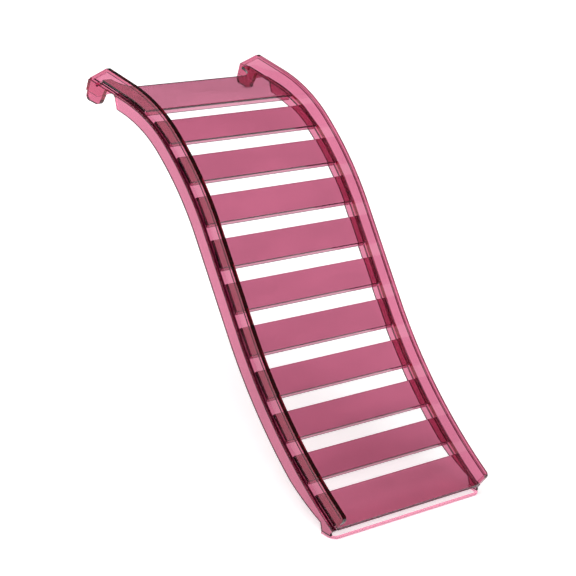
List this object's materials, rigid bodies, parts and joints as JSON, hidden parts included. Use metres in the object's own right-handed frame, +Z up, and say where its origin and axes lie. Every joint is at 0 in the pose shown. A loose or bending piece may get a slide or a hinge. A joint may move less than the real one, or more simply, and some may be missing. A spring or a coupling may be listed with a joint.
{
  "type": "small pet cage ramp",
  "caption": "Curved translucent plastic ramp for a small pet's cage, with flat treads between two low guard rails that end in hooks for a shelf.",
  "frame": {"origin": "on the floor, midway between the rails, straight below the front edge of the lowest tread, on the underside of the foot bar", "axes": "+X across the ramp to the right as seen by an animal walking up, +Y back from the foot to the hooks, +Z up, with the ramp as it hangs in use"},
  "size_m": [0.12, 0.2237, 0.1654],
  "materials": {
    "rail": "translucent rose moulded plastic, polished",
    "tread": "translucent rose moulded plastic, polished",
    "bar": "translucent rose moulded plastic, polished"
  },
  "bodies": {
    "root": {"left_rail": "rail", "right_rail": "rail", "foot_bar": "bar", "tread_01": "tread", "tread_02": "tread", "tread_03": "tread", "tread_04": "tread", "tread_05": "tread", "tread_06": "tread", "tread_07": "tread", "tread_08": "tread", "tread_09": "tread", "tread_10": "tread", "tread_11": "tread"}
  },
  "joints": []
}
